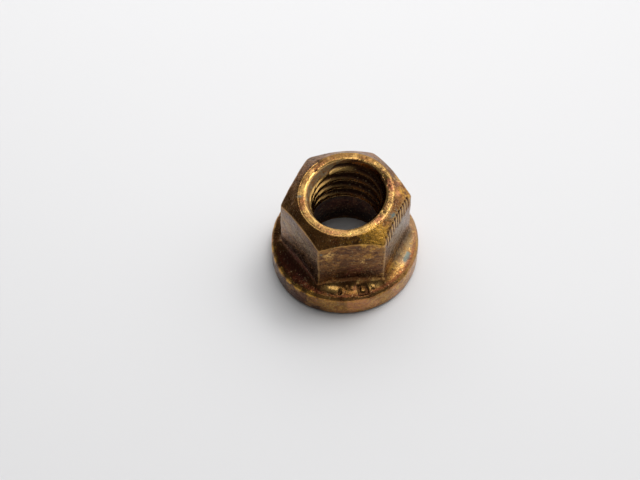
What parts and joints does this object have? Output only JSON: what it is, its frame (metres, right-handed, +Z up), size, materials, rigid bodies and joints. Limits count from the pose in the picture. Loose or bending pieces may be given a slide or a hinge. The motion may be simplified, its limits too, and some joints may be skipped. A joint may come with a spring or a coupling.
{
  "type": "flange nut",
  "caption": "Hexagon nut forged in one piece with a round flange, a crimped self-locking top and a threaded through bore.",
  "frame": {"origin": "on the thread axis at the flange's bearing face", "axes": "+Z up the thread axis from the bearing face to the top ring, +Y and -Y out of two opposite flats"},
  "size_m": [0.0144, 0.0144, 0.01],
  "materials": {
    "plated_steel": "worn copper-coloured plating, semi-gloss with brown tarnish"
  },
  "bodies": {
    "root": {"flange_nut": "plated_steel"}
  },
  "joints": []
}
